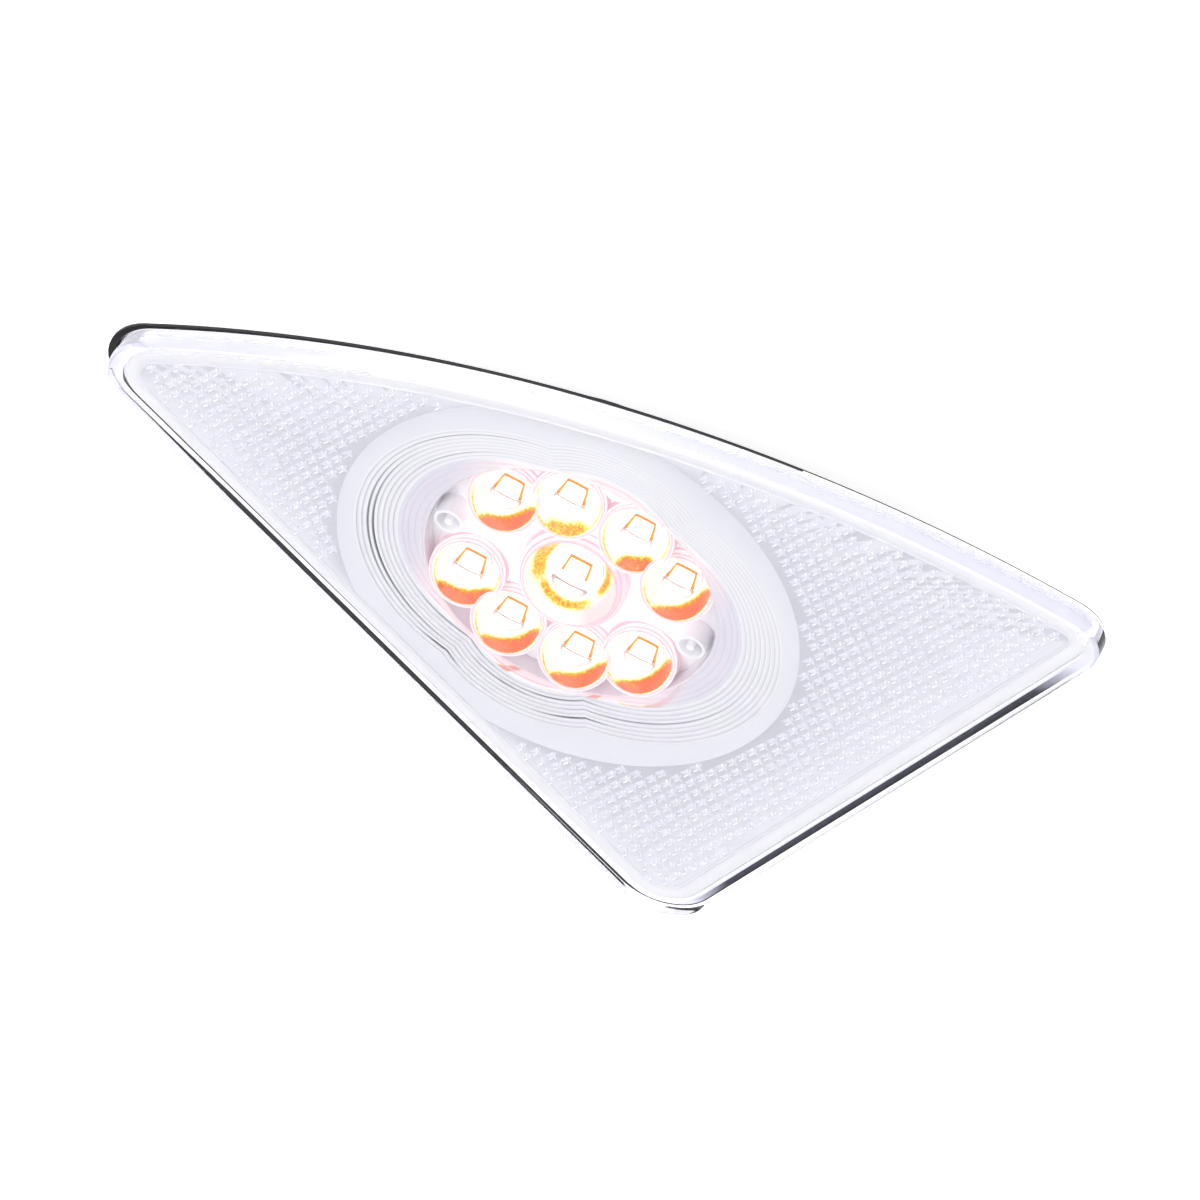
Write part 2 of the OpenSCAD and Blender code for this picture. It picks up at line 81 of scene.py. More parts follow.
# Prism plate: height of the room for prisms, thickness, and distance of the plate's side and of
# the prism field from the outline
PRISM_H = 0.6
PLATE_TOP = PRISM_TOP - PRISM_H
PLATE_T = 1.0
PLATE_INSET = 3.4
FIELD_INSET = 6.8
# Thickness of the plate's skirt
SKIRT_T = 1.0
# Radius of the smooth ring round the window
RING_R = 48.4
# Gap under the plate's foot
PLATE_CLEAR = 0.02
# Painted light: light of its own on the plate's side and foot, behind the lens's rim, and at the foot of the
# window's wall
SIDE_GLOW = 0.3
# How far the plate's foot stays inside the outline and shows the housing's edge:
# angle round the lamp in degrees, distance
EDGE_SHOWN = [(0, 0.8), (20, 0.8), (27, 0.06), (60, 0.12), (84, 0.15), (100, 0.12), (120, 0.03),
              (186, 0.03), (200, 0.7), (290, 0.7), (312, 0.8), (360, 0.8)]
# Painted reflection: dark strip on the blunt end's foot, standing for the black under the rim seen reflected
# in the lens: width, and how dark it is at each angle in degrees
STRIP_W = 1.8
STRIP_SHOWN = [(0, 1.0), (22, 1.0), (30, 0.0), (302, 0.0), (312, 1.0), (360, 1.0)]

# Prisms: pitch, direction of a row, angle between the two rows, share of a cell filled, height
PRISM_PITCH = 3.15
PRISM_TURN = math.radians(16.4)
PRISM_SKEW = math.radians(49.6)
PRISM_FILL = 0.97
PRISM_RISE = 0.25
# Room between the prisms and the border, and between the prisms and the ring
BORDER_ROOM = 0.9
RING_ROOM = 1.2
# Ridges of each prism, which carry painted highlights: middle, half length and half width, all from the
# prism's middle
RIDGES = [((-0.17, 0.77), (0.3, -0.31), 0.1), ((0.17, -0.77), (0.33, 0.56), 0.09),
          ((0.45, 1.5), (0.2, -0.21), 0.04)]
# Heights of a ridge's foot and crest over the plate
RIDGE_FOOT = 0.1
RIDGE_CREST = 0.42
# Painted highlight and shade of a ridge: white on the side towards the camera (1), grey on the side away from
# it (-1)
RIDGE_HIGHLIGHT_TONES = ((1, 1.0), (-1, 0.45))

# Directions of the photo on the lamp
ROLL = math.radians(27.5)
LIFT = math.asin(0.6293)
SIDE = np.array((1.0, 0.0, 0.0))
RISE = np.array((0.0, math.sin(LIFT), -math.cos(LIFT)))
VIEW_RIGHT = SIDE * math.cos(ROLL) + RISE * math.sin(ROLL)
VIEW_UP = RISE * math.cos(ROLL) - SIDE * math.sin(ROLL)
VIEW_BACK = np.array((0.0, math.cos(LIFT), math.sin(LIFT)))

# Window: distance from the middle and radius of the side and end lobes
SIDE_LOBE = (7.6, 37.1)
END_LOBE = (17.4, 24.6)
# Steps of the window: count, width and drop, and depth of the wall inside the last one
STEP_COUNT = 9
STEP_W = 1.05
STEP_DROP = 0.14
WINDOW_WALL = 1.1
ARRAY_TOP = PLATE_TOP - (STEP_COUNT - 1) * STEP_DROP
# Painted shade of a plain crease
CREASE_SHADE = 0.54
# Painted shade: dark arcs in the creases of the steps: step, middle and half width in degrees, strength
DARK_ARCS = [(2, 196, 24, 0.8), (3, 204, 30, 1.0), (1, 244, 6, 1.0), (2, 290, 9, 1.0), (5, 266, 10, 0.6),
             (6, 284, 14, 0.7), (1, 138, 22, 0.55), (4, 315, 24, 0.5), (6, 150, 16, 0.4), (7, 240, 16, 0.6)]

# Light cells: four at the sides, four at the ends and the middle one
CELLS = [(sx * 18.9, sy * 12.8) for sy in (1, -1) for sx in (-1, 1)]
CELLS += [(sx * 7.4, sy * 20.3) for sy in (1, -1) for sx in (-1, 1)]
CELLS += [(0.0, 0.0)]
MIDDLE = len(CELLS) - 1
# Bowls: radius of the mouth, and wall
BOWL_R = [7.0] * MIDDLE + [10.4]
BOWL_WALL = 0.7
# Domes: radius, gap round the foot, straight wall, and rise of the top as a share of the radius
DOME_R = [3.7] * MIDDLE + [5.1]
DOME_FIT = 0.15
DOME_BASE = 2.4
DOME_RISE = 0.86
# Light tile: rise above the package, and bare edge round it
TILE_RISE = 0.6
TILE_EDGE = 0.36
# Orange band at the top of a package, which glows as painted light
CHIP_BAND = 0.4
# Smallest radius of a turned piece, so that its last ring doesn't shrink to a point
AXIS_R = 0.02

# Pan of the bowl array: floor and radius
PAN_Z = BOARD_Z + 0.9
PAN_R = 30.5
# Highest, lowest and middle height of a bowl's slanted rim
RIM_HIGH = PRISM_TOP
RIM_LOW = PAN_Z + DOME_FIT
RIM_MID = (RIM_HIGH + RIM_LOW) / 2
# Side bosses: place, radius, wall and height over the seat
SIDE_BOSS_X = 26.6
SIDE_BOSS_R = 3.2
SIDE_BOSS_T = 0.9
SIDE_BOSS_UP = 0.4
# Screw covers: place, radius, and height over the board
COVER_Y = 27.2
COVER_R = 2.9
COVER_H = 2.0
# Fan of wedges beside a side boss: count, angle from one to the next, half angle, start, end, height
FAN_COUNT = 7
FAN_STEP = 22
FAN_HALF = 0.16
FAN_START = 3.6
FAN_END = 6.2
FAN_H = 1.2

# Rim of a bowl from the inside outwards: share of its width, height over the slanted plane
GROOVE = [(0.34, 0.02), (0.44, -0.14), (0.52, -0.14), (0.62, 0.02), (0.9, 0.0)]
# Painted light: pink of the rim's rings, and light of its own on the first rings of a bowl
RIM_PINK = (1.0, 0.1, 0.9, 0.9, 0.1, 0.2, 1.0, 0.6)
FOOT_LIT = (1.0, 1.0, 0.9, 0.7, 0.4)
# Painted light: crescents of orange light on the eight outer bowls: direction in the photo, half width in
# degrees, strength
CRESCENTS = [(-82, 52, 1.0), (-72, 60, 1.0), (-99, 52, 1.0), (-68, 62, 1.0), (-96, 34, 0.45),
             (-92, 26, 0.85), (-83, 56, 1.0), (-79, 54, 1.0)]
# Painted light: patches round the middle light: direction, half width, inner and outer distance, strength
PATCHES = [(122, 58, 1.12, 1.8, 0.4), (242, 38, 1.1, 1.6, 0.44), (8, 42, 1.06, 1.5, 0.5)]
# Painted light: orange streaks on the seat: cell, direction in the photo, inner distance
SEAT_STREAKS = [(6, -88, 1.16), (7, -83, 1.1), (3, -70, 1.16)]
# Ridges of the seat: growth of the window's outline that each one follows
SEAT_RIDGES = (-13.4, -12.0, -10.6, -9.5)


# Outline curves

def normal_angle(a, b):
    """Direction of the outward normal of the straight side from corner a to corner b."""
    dx, dy = b[0] - a[0], b[1] - a[1]
    return math.atan2(dy, dx) - math.acos((a[2] - b[2]) / math.hypot(dx, dy))


def edge_centre():
    """Centre of the long curved edge, whose circle touches the tip and upper corners."""
    tip, up = np.array(TIP[:2]), np.array(UPPER[:2])
    tip_reach, upper_reach = EDGE_R - TIP[2], EDGE_R - UPPER[2]
    span = up - tip
    length = np.linalg.norm(span)
    along = (tip_reach ** 2 - upper_reach ** 2 + length ** 2) / (2 * length)
    drop = math.sqrt(tip_reach ** 2 - along ** 2)
    unit = span / length
    return tip + unit * along + np.array([unit[1], -unit[0]]) * drop


EDGE_C = edge_centre()
LOW_N = normal_angle(TIP, LOWER)
BLUNT_N = normal_angle(LOWER, UPPER)
UPPER_A = math.atan2(UPPER[1] - EDGE_C[1], UPPER[0] - EDGE_C[0])
TIP_A = math.atan2(TIP[1] - EDGE_C[1], TIP[0] - EDGE_C[0])


def arc(cx, cy, r, start, end, n):
    t = np.linspace(start, end, n)
    return np.stack([cx + r * np.cos(t), cy + r * np.sin(t)], axis=1)


def outline(inset, corner_n=36, edge_n=150, side_n=40):
    """Outline of the lamp set in by a distance, anticlockwise from the tip."""
    tip = arc(TIP[0], TIP[1], TIP[2] - inset, TIP_A, 2 * math.pi + LOW_N, corner_n)
    low = arc(LOWER[0], LOWER[1], LOWER[2] - inset, LOW_N, BLUNT_N, corner_n)
    up = arc(UPPER[0], UPPER[1], UPPER[2] - inset, BLUNT_N, UPPER_A, corner_n)
    top = arc(EDGE_C[0], EDGE_C[1], EDGE_R - inset, UPPER_A, TIP_A, edge_n)
    t = np.linspace(0, 1, side_n)[1:-1, None]
    bottom = tip[-1] * (1 - t) + low[0] * t
    right = low[-1] * (1 - t) + up[0] * t
    return np.concatenate([tip, bottom, low, right, up, top[1:-1]])


def polar_radius(points, angles):
    """Distance from the middle to a closed curve round it, at each angle."""
    a = np.unwrap(np.arctan2(points[:, 1], points[:, 0]))
    if a[-1] < a[0]:
        points, a = points[::-1], a[::-1]
    closed = np.concatenate([points, points[:1]])
    a = np.concatenate([a, [a[0] + 2 * math.pi]])
    t = (angles - a[0]) % (2 * math.pi) + a[0]
    k = np.clip(np.searchsorted(a, t, side="right") - 1, 0, len(a) - 2)
    p, q = closed[k], closed[k + 1]
    d = np.stack([np.cos(angles), np.sin(angles)], axis=1)
    e = q - p
    cross = d[:, 0] * e[:, 1] - d[:, 1] * e[:, 0]
    return (p[:, 0] * e[:, 1] - p[:, 1] * e[:, 0]) / cross


def window_radius(grow, angles):
    """Distance from the middle to the four-lobed window, grown by a distance."""
    best = np.zeros_like(angles)
    lobes = [(s * SIDE_LOBE[0], 0.0, SIDE_LOBE[1]) for s in (-1, 1)]
    lobes += [(0.0, s * END_LOBE[0], END_LOBE[1]) for s in (-1, 1)]
    for cx, cy, r in lobes:
        along = cx * np.cos(angles) + cy * np.sin(angles)
        off = cx * cx + cy * cy - (r + grow) ** 2
        best = np.maximum(best, along + np.sqrt(np.maximum(along ** 2 - off, 0)))
    return best


# Mesh helpers

def new_mesh(name, verts, faces, mat, smooth=True, sharp_deg=35):
    mesh = bpy.data.meshes.new(name)
    mesh.from_pydata((np.asarray(verts) * MM).tolist(), [], faces)
    mesh.validate()
    mesh.update()
    mesh.materials.append(mat)
    obj = bpy.data.objects.new(name, mesh)
    bpy.context.scene.collection.objects.link(obj)
    if smooth:
        mesh.polygons.foreach_set("use_smooth", [True] * len(mesh.polygons))
        mesh.set_sharp_from_angle(angle=math.radians(sharp_deg))
    return obj


def paint(obj, name, values):
    """A number on each point of a mesh, for its material to read."""
    layer = obj.data.attributes.new(name, "FLOAT", "POINT")
    layer.data.foreach_set("value", np.asarray(values, dtype=np.float32))


def round_angles(n):
    return np.linspace(0, 2 * math.pi, n, endpoint=False)


def ring_points(angles, r, z, cx=0.0, cy=0.0):
    """Points round a vertical axis, whose radius and height may change with the angle."""
    return np.column_stack([cx + r * np.cos(angles), cy + r * np.sin(angles),
                            np.broadcast_to(z, angles.shape)])


def grid_faces(rows, cols, flip=False):
    """Quads between closed rings of points that follow each other."""
    faces = []
    for r in range(rows - 1):
        for c in range(cols):
            d = (c + 1) % cols
            quad = (r * cols + c, r * cols + d, (r + 1) * cols + d, (r + 1) * cols + c)
            faces.append(quad[::-1] if flip else quad)
    return faces


def end_faces(rows, cols):
    """Faces that close the first and the last ring."""
    return [tuple(range(cols))[::-1], tuple((rows - 1) * cols + c for c in range(cols))]


def turned(name, cx, cy, profile, mat, n=72, sharp_deg=40):
    """A turned piece round a vertical axis, from (radius, height) pairs that end lowest outside."""
    angles = round_angles(n)
    rings = [ring_points(angles, r, z, cx, cy) for r, z in profile[::-1]]
    return new_mesh(name, np.concatenate(rings), grid_faces(len(rings), n), mat, sharp_deg=sharp_deg)


def side_letter(s):
    return "a" if s < 0 else "b"


# Material helpers

def material(name, color, rough=0.5, **sockets):
    m = bpy.data.materials.new(name)
    m.use_nodes = True
    b = m.node_tree.nodes["Principled BSDF"]
    b.inputs["Base Color"].default_value = (*color, 1)
    b.inputs["Roughness"].default_value = rough
    for k, v in sockets.items():
        b.inputs[k.replace("_", " ")].default_value = v
    return m


def add(m, kind, **props):
    n = m.node_tree.nodes.new(kind)
    for k, v in props.items():
        setattr(n, k, v)
    return n


def link(m, a, b):
    m.node_tree.links.new(a, b)


def bsdf(m):
    return m.node_tree.nodes["Principled BSDF"]


def feed(m, out, *sockets):
    """Lead an output to sockets of the shader."""
    for socket in sockets:
        link(m, out, bsdf(m).inputs[socket])


def glow(m, color, strength):
    b = bsdf(m)
    b.inputs["Emission Color"].default_value = (*color, 1)
    b.inputs["Emission Strength"].default_value = strength


def object_coords(m):
    return add(m, "ShaderNodeTexCoord").outputs["Object"]


def painted(m, name):
    """The number that paint() put on the mesh."""
    return add(m, "ShaderNodeAttribute", attribute_name=name).outputs["Fac"]


def noise(m, scale, detail=2):
    n = add(m, "ShaderNodeTexNoise")
    n.inputs["Scale"].default_value = scale
    n.inputs["Detail"].default_value = detail
    link(m, object_coords(m), n.inputs["Vector"])
    return n.outputs["Fac"]


def map_range(m, out, low, high, start=0.0, end=1.0, **props):
    """Carry a number from start..end over to low..high."""
    n = add(m, "ShaderNodeMapRange", **props)
    for socket, number in (("From Min", start), ("From Max", end), ("To Min", low), ("To Max", high)):
        n.inputs[socket].default_value = number
    link(m, out, n.inputs["Value"])
    return n.outputs["Result"]


def mixed(m, factor_out, low, high):
    """Mix of two colours, each a tuple or the output of another node."""
    n = add(m, "ShaderNodeMix", data_type="RGBA")
    link(m, factor_out, n.inputs["Factor"])
    for socket, colour in (("A", low), ("B", high)):
        if isinstance(colour, tuple):
            n.inputs[socket].default_value = (*colour, 1)
        else:
            link(m, colour, n.inputs[socket])
    return n.outputs["Result"]


def colour_ramp(m, out, colours):
    """Colour read from (place, colour) stops in rising order."""
    n = add(m, "ShaderNodeValToRGB")
    stops = n.color_ramp.elements
    first, *middle, last = colours
    for k, (place, colour) in enumerate([first, last, *middle]):
        stop = stops[k] if k < 2 else stops.new(place)
        stop.position = place
        stop.color = (*colour, 1)
    link(m, out, n.inputs["Fac"])
    return n.outputs["Color"]


def noise_bump(m, scale, strength, distance=0.0002, detail=4):
    """Fine relief from noise."""
    b = add(m, "ShaderNodeBump")
    b.inputs["Strength"].default_value = strength
    b.inputs["Distance"].default_value = distance
    link(m, noise(m, scale, detail), b.inputs["Height"])
    feed(m, b.outputs["Normal"], "Normal")


def vary(m, scale, low, high):
    """Slow change of colour over the surface."""
    feed(m, colour_ramp(m, noise(m, scale), [(0.35, low), (0.65, high)]), "Base Color")


def vary_rough(m, scale, low, high):
    feed(m, map_range(m, noise(m, scale), low, high), "Roughness")


def tone_by_normal(m, direction, colours):
    """Painted light and shade: colour from how far a face turns towards a fixed direction of the lamp."""
    dot = add(m, "ShaderNodeVectorMath", operation="DOT_PRODUCT")
    dot.inputs[1].default_value = Vector(direction).normalized()
    link(m, add(m, "ShaderNodeNewGeometry").outputs["Normal"], dot.inputs[0])
    return colour_ramp(m, map_range(m, dot.outputs["Value"], 0.0, 1.0, -1.0), colours)


def crevice_shade(m, colour_out, distance, dark):
    """Painted shade: darken what lies deep in narrow relief of the same piece."""
    ao = add(m, "ShaderNodeAmbientOcclusion")
    ao.only_local = True
    ao.samples = 8
    ao.inputs["Distance"].default_value = distance * MM
    feed(m, mixed(m, ao.outputs["AO"], dark, colour_out), "Base Color")


# Materials

# Plastic has an index of about 1.49, at which a black line shows just inside the lens's front edge
CLEAR = material("clear_lens", (1.0, 1.0, 1.0), 0.02, Transmission_Weight=1.0, IOR=1.22)
noise_bump(CLEAR, 90, 0.02, 0.0001, 2)
# Painted shade: the glass is tinted darker at the lens's outer edge
feed(CLEAR, mixed(CLEAR, painted(CLEAR, "edge_shade_share"), (0.92, 0.92, 0.93), (0.62, 0.62, 0.72)), "Base Color")

DOME = material("clear_dome", (1.0, 1.0, 1.0), 0.01, Transmission_Weight=1.0, IOR=1.2)
noise_bump(DOME, 300, 0.03, 0.00005, 2)
feed(DOME, mixed(DOME, painted(DOME, "wall_share"), (1.0, 0.96, 0.955), (1.0, 0.96, 0.96)), "Base Color")

BLACK = material("black_plastic", (0.012, 0.012, 0.014), 0.5, Specular_IOR_Level=0.2)
vary(BLACK, 60, (0.009, 0.009, 0.011), (0.016, 0.016, 0.018))
noise_bump(BLACK, 2500, 0.25, 0.0001)
vary_rough(BLACK, 120, 0.42, 0.6)

FOAM = material("foam", (0.012, 0.012, 0.013), 0.9)
vary(FOAM, 700, (0.006, 0.006, 0.007), (0.02, 0.02, 0.022))
noise_bump(FOAM, 1600, 0.8, 0.0003, 6)

STEEL = material("zinc_steel", (0.62, 0.63, 0.65), 0.32, Metallic=1.0)
vary(STEEL, 300, (0.55, 0.56, 0.57), (0.68, 0.69, 0.71))
noise_bump(STEEL, 1500, 0.1, 0.00008)

BRASS = material("contact_brass", (0.72, 0.55, 0.26), 0.3, Metallic=1.0)
vary(BRASS, 250, (0.66, 0.5, 0.22), (0.78, 0.62, 0.32))
noise_bump(BRASS, 1200, 0.08, 0.00008)

CAN = material("aluminium_can", (0.78, 0.78, 0.8), 0.25, Metallic=1.0)
vary_rough(CAN, 400, 0.18, 0.34)

CHIP = material("chip_black", (0.02, 0.02, 0.022), 0.45)
noise_bump(CHIP, 3000, 0.3, 0.00005)

VENT = material("vent_membrane", (0.32, 0.32, 0.34), 0.8)
noise_bump(VENT, 3000, 0.8, 0.0002)

BOARD = material("solder_mask", (0.75, 0.72, 0.7), 0.35)
vary(BOARD, 60, (0.7, 0.66, 0.64), (0.8, 0.76, 0.74))
noise_bump(BOARD, 800, 0.1, 0.00005)

CHIP_GLOW = material("chip_glow", (1.0, 0.93, 0.8), 0.4)
glow(CHIP_GLOW, (1.0, 0.88, 0.68), 3.0)

# Painted light: the board round each chip glows pale pink, as lit by the LEDs
LIT_BOARD = material("lit_board", (1.0, 0.92, 0.92), 0.4)
glow(LIT_BOARD, (1.0, 0.88, 0.9), 1.0)


def package_material():
    """Pale package with an orange band at its top; both glow faintly as painted light."""
    m = material("chip_frame", (1.0, 0.9, 0.8), 0.3)
    place = add(m, "ShaderNodeSeparateXYZ")
    band = add(m, "ShaderNodeMath", operation="GREATER_THAN")
    band.inputs[1].default_value = (CHIP_TOP - CHIP_BAND) * MM
    link(m, object_coords(m), place.inputs["Vector"])
    link(m, place.outputs["Z"], band.inputs[0])
    tone = mixed(m, band.outputs["Value"], (1.0, 0.88, 0.8), (0.8, 0.24, 0.02))
    # painted light: the package glows faintly in its own colours
    feed(m, tone, "Base Color", "Emission Color")
    bsdf(m).inputs["Emission Strength"].default_value = 0.25
    return m


def bowl_material():
    """Near white and glowing faintly as painted light, with a painted crescent of orange and coral light that
    has a speckled yellow edge, pink painted light on the rims, and a greyer tone where cool_share is set.
    """
    m = material("bowl_moulding", (0.95, 0.93, 0.9), 0.15)
    painted_glow = painted(m, "crescent")
    speckled = add(m, "ShaderNodeMath", operation="MULTIPLY_ADD")
    link(m, map_range(m, noise(m, 1700, 5), -1.1, 1.1), speckled.inputs[0])
    link(m, painted_glow, speckled.inputs[1])
    link(m, painted_glow, speckled.inputs[2])
    tone = colour_ramp(m, speckled.outputs["Value"],
                       [(0.0, (1.0, 0.97, 0.93)), (0.16, (1.0, 0.93, 0.6)), (0.32, (0.95, 0.66, 0.05)),
                        (0.5, (0.88, 0.32, 0.03)), (0.75, (0.78, 0.17, 0.05)), (1.0, (0.74, 0.15, 0.07))])
    tone = mixed(m, painted(m, "cool_share"), tone, (0.66, 0.66, 0.73))
    tone = mixed(m, painted(m, "rim_share"), tone, (0.82, 0.5, 0.6))
    # painted light: the bowl glows in its own colours, most on its first rings
    feed(m, tone, "Base Color", "Emission Color")
    feed(m, map_range(m, painted(m, "lit_share"), 0.24, 1.0), "Emission Strength")
    noise_bump(m, 400, 0.2, 0.0002, 5)
    return m


def pan_material():
    """Clear grey-white at the outside, lit pale pink between the bowls as painted light, with painted light
    and shade from the faces' direction and painted shade in crevices.
    """
    m = material("pan_moulding", (0.95, 0.95, 0.97), 0.1)
    tone = tone_by_normal(m, (0.1, 0.5, 0.85), [(0.35, (0.72, 0.72, 0.78)), (0.93, (0.98, 0.98, 1.0))])
    crevice_shade(m, tone, 1.0, (0.66, 0.64, 0.7))
    # Painted light: a pale pink glow near the middle, fading out between 21 and 29 mm from it
    flat = add(m, "ShaderNodeVectorMath", operation="MULTIPLY")
    flat.inputs[1].default_value = (1.0, 1.0, 0.0)
    centre = add(m, "ShaderNodeVectorMath", operation="LENGTH")
    link(m, object_coords(m), flat.inputs[0])
    link(m, flat.outputs["Vector"], centre.inputs[0])
    lit = map_range(m, centre.outputs["Value"], 0.35, 0.03, 21 * MM, 29 * MM, interpolation_type="SMOOTHSTEP")
    feed(m, lit, "Emission Strength")
    bsdf(m).inputs["Emission Color"].default_value = (1.0, 0.9, 0.93, 1)
    noise_bump(m, 220, 0.3, 0.0004, 4)
    return m


def prism_material():
    """Nearly flat pale facets that glow a little as painted light, with white ridges that are painted
    highlights and have a grey side of painted shade.
    """
    m = material("prism_moulding", (0.62, 0.62, 0.68), 0.2)
    tone = colour_ramp(m, painted(m, "ridge_highlight_share"),
                       [(0.0, (0.67, 0.67, 0.735)), (0.45, (0.5, 0.5, 0.57)),
                        (0.55, (0.97, 0.97, 1.0)), (1.0, (0.97, 0.97, 1.0))])
    # painted light: facets and ridges glow a little in their own tone
    feed(m, tone, "Base Color", "Emission Color")
    bsdf(m).inputs["Emission Strength"].default_value = 0.28
    return m


def plate_material():
    """Pale lavender, with painted shade in creases and crevices, painted highlights on beads, a painted
    reflection in the foot's strip and a painted glow on the side and foot.
    """
    m = material("plate_moulding", (0.78, 0.78, 0.85), 0.2)
    tone = colour_ramp(m, painted(m, "light_and_shade_share"),
                       [(0.0, (0.02, 0.02, 0.035)), (0.4, (0.5, 0.5, 0.57)), (0.6, (0.89, 0.89, 0.955)),
                        (0.8, (0.94, 0.94, 0.98)), (1.0, (0.97, 0.97, 1.0))])
    crevice_shade(m, tone, 0.4, (0.62, 0.62, 0.7))
    feed(m, tone, "Emission Color")
    feed(m, painted(m, "side_share"), "Emission Strength")
    noise_bump(m, 500, 0.04, 0.00005)
    return m


PACKAGE = package_material()
BOWL = bowl_material()
PAN = pan_material()
PRISM = prism_material()
PLATE = plate_material()


# Lens

def make_lens():
    """Clear cover: flat front, rounded front edge and a deep rim."""
    parts = 8
    steps = []
    for i in range(parts + 1):
        a = math.pi / 2 * (1 - i / parts)
        steps.append((LENS_ROUND * (1 - math.cos(a)), FRONT_Z - LENS_ROUND * (1 - math.sin(a))))
    foot = RIM_Z + LENS_CLEAR
    bevel_in, bevel_up = LENS_BEVEL
    steps += [(0, RIM_Z + bevel_up), (bevel_in, foot), (RIM_T, foot), (RIM_T, FRONT_Z - FRONT_T)]
    steps.reverse()
    rings = [outline(inset) for inset, _ in steps]
    n = len(rings[0])
    verts = np.concatenate([np.column_stack([r, np.full(n, z)]) for r, (_, z) in zip(rings, steps)])
    faces = grid_faces(len(steps), n) + end_faces(len(steps), n)
    lens = new_mesh("lens_cover", verts, faces, CLEAR, sharp_deg=40)
    # painted shade: a darker tint at the outer edge, and half as much at the foot
    edge_shade = [0.0 if inset > LENS_ROUND / 2 else 1.0 if height > RIM_Z + 1 else 0.5 for inset, height in steps]
    paint(lens, "edge_shade_share", np.repeat(edge_shade, n))
    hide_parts("outer_lens")
    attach(lens, "root")


# Prism plate

def step_rings(angles):
    """Rings of the stepped window from the inside outwards: radius, height, tone (painted shade in creases,
    painted highlights on beads) and painted own light.
    """
    turn = np.degrees(angles) % 360
    rings = []
    for i in reversed(range(STEP_COUNT)):
        r = window_radius(-i * STEP_W, angles)
        z = PLATE_TOP - i * STEP_DROP
        last = i == STEP_COUNT - 1
        below = z - (WINDOW_WALL if last else STEP_DROP)
        own = SIDE_GLOW if last else 0.0
        crease = np.full(angles.shape, CREASE_SHADE)
        for step, middle, half, strength in DARK_ARCS:
            if step == i:
                crease -= 0.5 * strength * np.exp(-((turn - middle) / half) ** 2)
        crease = np.maximum(crease, 0.02)
        # crease of painted shade, which is wider where it is darker, then bead with a painted highlight, and
        # flat
        rings += [(r - 0.2 - 0.45 * (CREASE_SHADE - crease), below + 0.01, crease, own),
                  (r - 0.05, below + 0.02, crease, own),
                  (r + 0.02, z + 0.06, 1.0, 0.0),
                  (r + 0.24, z + 0.09, 1.0, 0.0),
                  (r + 0.4, z + 0.02, 0.85, 0.0),
                  (r + 0.6, z, 0.66, 0.0)]
    return rings


def make_plate():
    """Plate with its window, ring, border, side and foot, as rings round the middle."""
    n = 1080
    angles = round_angles(n)
    turn = np.degrees(angles) % 360

    def inset(distance):
        return polar_radius(outline(distance), angles)

    ring = np.minimum(np.full(n, RING_R), inset(FIELD_INSET) - 0.1)
    shown = np.interp(turn, *zip(*EDGE_SHOWN))
    foot = inset(0) * (1 - shown) + inset(1) * shown
    strip = 0.9 - 0.88 * np.interp(turn, *zip(*STRIP_SHOWN))
    foot_top = RIM_Z + PLATE_CLEAR
    under = PLATE_TOP - PLATE_T
    rings = step_rings(angles)
    inner, inner_z = rings[0][:2]
    # ring, with a small lip round it; a painted highlight on the lip and painted shade beside it
    rings += [(np.maximum(ring - 0.3, rings[-1][0] + 0.05), PLATE_TOP, 0.62, 0.0),
              (ring - 0.12, PLATE_TOP + 0.1, 0.8, 0.0),
              (ring, PLATE_TOP + 0.02, 0.5, 0.0)]
    # ground of the field, and the border with a bead; painted highlights on the beads and painted shade in
    # the creases beside them
    rings += [(inset(FIELD_INSET), PLATE_TOP + 0.02, 0.6, 0.0),
              (inset(FIELD_INSET - 0.15), PLATE_TOP + 0.28, 1.0, 0.0),
              (inset(FIELD_INSET - 0.35), PLATE_TOP + 0.3, 1.0, 0.0),
              (inset(FIELD_INSET - 0.5), PLATE_TOP + 0.05, 0.55, 0.0),
              (inset(FIELD_INSET - 1.0), PLATE_TOP + 0.05, 0.8, 0.0),
              (inset(FIELD_INSET - 1.25), PLATE_TOP + 0.2, 1.0, 0.0),
              (inset(PLATE_INSET + 0.5), PLATE_TOP + 0.2, 0.95, 0.0),
              (inset(PLATE_INSET + 0.1), PLATE_TOP + 0.1, 0.9, 0.0)]
    # side behind the lens's rim, and the foot with its strip; both glow as painted light, and the strip is a
    # painted reflection
    rings += [(inset(PLATE_INSET), PLATE_TOP - 0.3, 0.9, SIDE_GLOW),
              (inset(PLATE_INSET), foot_top, 0.9, SIDE_GLOW),
              (inset(STRIP_W + 0.1), foot_top, 0.9, SIDE_GLOW),
              (inset(STRIP_W), foot_top, strip, SIDE_GLOW),
              (foot, foot_top, strip, SIDE_GLOW)]
    # underside, back to the window
    rings += [(foot, FOOT_Z, 0.9, 0.0),
              (inset(PLATE_INSET + SKIRT_T), FOOT_Z, 0.6, 0.0),
              (inset(PLATE_INSET + SKIRT_T), under, 0.6, 0.0),
              (inner + 0.8, under - WINDOW_WALL, 0.6, 0.0),
              (inner, inner_z, 0.6, SIDE_GLOW)]
    verts = np.concatenate([ring_points(angles, r, z) for r, z, _, _ in rings])
    plate = new_mesh("prism_plate_body", verts, grid_faces(len(rings), n, flip=True), PLATE, sharp_deg=60)
    paint(plate, "light_and_shade_share", np.concatenate([np.broadcast_to(tone, (n,)) for _, _, tone, _ in rings]))
    paint(plate, "side_share", np.repeat([own for _, _, _, own in rings], n))
    return plate


